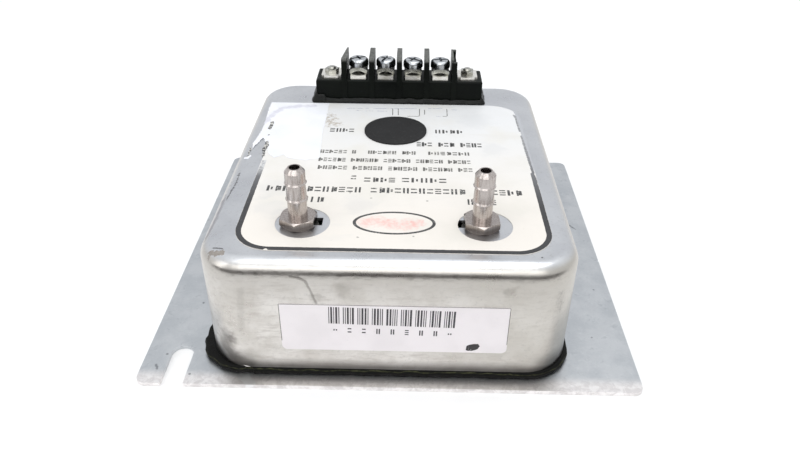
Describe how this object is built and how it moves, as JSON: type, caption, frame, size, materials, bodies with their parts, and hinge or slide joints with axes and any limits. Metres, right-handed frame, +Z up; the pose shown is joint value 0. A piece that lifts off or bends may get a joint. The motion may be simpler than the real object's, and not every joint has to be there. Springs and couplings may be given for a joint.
{
  "type": "differential pressure transmitter",
  "caption": "Differential pressure transmitter: drawn case on a slotted base plate, two hose barbs, barrier terminal strip and a plugged trimmer hole.",
  "frame": {"origin": "centre of the base plate's underside", "axes": "+Z up out of the case top, -Y towards the hose ports, +X towards the high port"},
  "size_m": [0.1344, 0.1262, 0.054],
  "materials": {
    "board_laminate": "solder mask",
    "capacitor_cover": "sleeved",
    "capsule_aluminium": "turned",
    "case_aluminium": "drawn aluminium, fine satin",
    "chip_plastic": "moulded",
    "diaphragm_steel": "bright foil",
    "foam": "closed cell foam, matt",
    "hose_silicone": "translucent, satin",
    "label_film": "printed film, satin",
    "nickel_brass": "nickel plated, turned",
    "phenolic": "moulded, satin",
    "plated_steel": "zinc plated",
    "plug_plastic": "matt moulded",
    "resistor_body": "lacquered",
    "rotor_plastic": "moulded",
    "screw_metal": "bright plated",
    "sealant": "cured bead",
    "sticker_paper": "satin paper",
    "terminal_metal": "nickel plated",
    "torn_paper": "torn paper",
    "trimmer_plastic": "moulded",
    "wire_cover": "extruded",
    "zinc_plate": "mottled zinc plating, satin"
  },
  "bodies": {
    "root": {"base_plate": "zinc_plate", "base_gasket": "foam", "case": "case_aluminium", "face_label": "label_film", "front_sticker": "sticker_paper", "torn_sticker": "torn_paper", "low_port_fitting": "nickel_brass", "high_port_fitting": "nickel_brass", "low_port_nut": "nickel_brass", "high_port_nut": "nickel_brass", "low_port_washer": "plated_steel", "high_port_washer": "plated_steel", "low_hose": "hose_silicone", "high_hose": "hose_silicone", "terminal_block": "phenolic", "end_plates": "terminal_metal", "strip_bolts": "plated_steel", "strip_nuts": "plated_steel", "strip_sealant": "sealant", "case_posts": "plated_steel", "base_screws": "plated_steel", "capsule_screws": "plated_steel", "sensor_lower_half": "capsule_aluminium", "sensor_upper_half": "capsule_aluminium", "sensor_diaphragm": "diaphragm_steel", "sensor_screws": "plated_steel", "sensor_leads": "wire_cover", "circuit_board": "board_laminate", "board_standoffs": "plated_steel", "board_screws": "plated_steel", "zero_trimmer": "trimmer_plastic", "span_trimmer": "trimmer_plastic", "integrated_circuits": "chip_plastic", "capacitors": "capacitor_cover", "resistors": "resistor_body", "terminal_wires": "wire_cover", "terminal_plate_1": "terminal_metal", "terminal_plate_2": "terminal_metal", "terminal_plate_3": "terminal_metal", "terminal_plate_4": "terminal_metal"},
    "hole_plug": {"hole_plug": "plug_plastic"},
    "zero_rotor": {"zero_rotor": "rotor_plastic"},
    "span_rotor": {"span_rotor": "rotor_plastic"},
    "clamp_1": {"terminal_clamp_1": "plated_steel"},
    "screw_1": {"terminal_screw_1": "screw_metal"},
    "clamp_2": {"terminal_clamp_2": "plated_steel"},
    "screw_2": {"terminal_screw_2": "screw_metal"},
    "clamp_3": {"terminal_clamp_3": "plated_steel"},
    "screw_3": {"terminal_screw_3": "screw_metal"},
    "clamp_4": {"terminal_clamp_4": "plated_steel"},
    "screw_4": {"terminal_screw_4": "screw_metal"}
  },
  "joints": [
    {"name": "plug_lift", "type": "slide", "parent": "root", "child": "hole_plug", "axis": [0, 0, 1], "range_m": [0, 0.02]},
    {"name": "zero_turn", "type": "hinge", "parent": "root", "child": "zero_rotor", "pos_m": [-0.00535, 0.01525, 0.0328], "axis": [0, 0, 1], "range_deg": [-135, 135]},
    {"name": "span_turn", "type": "hinge", "parent": "root", "child": "span_rotor", "pos_m": [0.00475, 0.01525, 0.0328], "axis": [0, 0, 1], "range_deg": [-135, 135]},
    {"name": "clamp_1_rise", "type": "slide", "parent": "root", "child": "clamp_1", "axis": [0, 0, 1], "range_m": [0, 0.00238]},
    {"name": "screw_1_turn", "type": "hinge", "parent": "clamp_1", "child": "screw_1", "pos_m": [-0.01399, 0.0442, 0.0467], "axis": [0, 0, 1], "range_deg": [0, 1080]},
    {"name": "clamp_2_rise", "type": "slide", "parent": "root", "child": "clamp_2", "axis": [0, 0, 1], "range_m": [0, 0.00238]},
    {"name": "screw_2_turn", "type": "hinge", "parent": "clamp_2", "child": "screw_2", "pos_m": [-0.00446, 0.0442, 0.0467], "axis": [0, 0, 1], "range_deg": [0, 1080]},
    {"name": "clamp_3_rise", "type": "slide", "parent": "root", "child": "clamp_3", "axis": [0, 0, 1], "range_m": [0, 0.00238]},
    {"name": "screw_3_turn", "type": "hinge", "parent": "clamp_3", "child": "screw_3", "pos_m": [0.00506, 0.0442, 0.0467], "axis": [0, 0, 1], "range_deg": [0, 1080]},
    {"name": "clamp_4_rise", "type": "slide", "parent": "root", "child": "clamp_4", "axis": [0, 0, 1], "range_m": [0, 0.00238]},
    {"name": "screw_4_turn", "type": "hinge", "parent": "clamp_4", "child": "screw_4", "pos_m": [0.01459, 0.0442, 0.0467], "axis": [0, 0, 1], "range_deg": [0, 1080]}
  ],
  "couplings": [
    {"joint": "screw_1_turn", "follows": "clamp_1_rise", "rad_per_m": 7915.8},
    {"joint": "screw_2_turn", "follows": "clamp_2_rise", "rad_per_m": 7915.8},
    {"joint": "screw_3_turn", "follows": "clamp_3_rise", "rad_per_m": 7915.8},
    {"joint": "screw_4_turn", "follows": "clamp_4_rise", "rad_per_m": 7915.8}
  ]
}
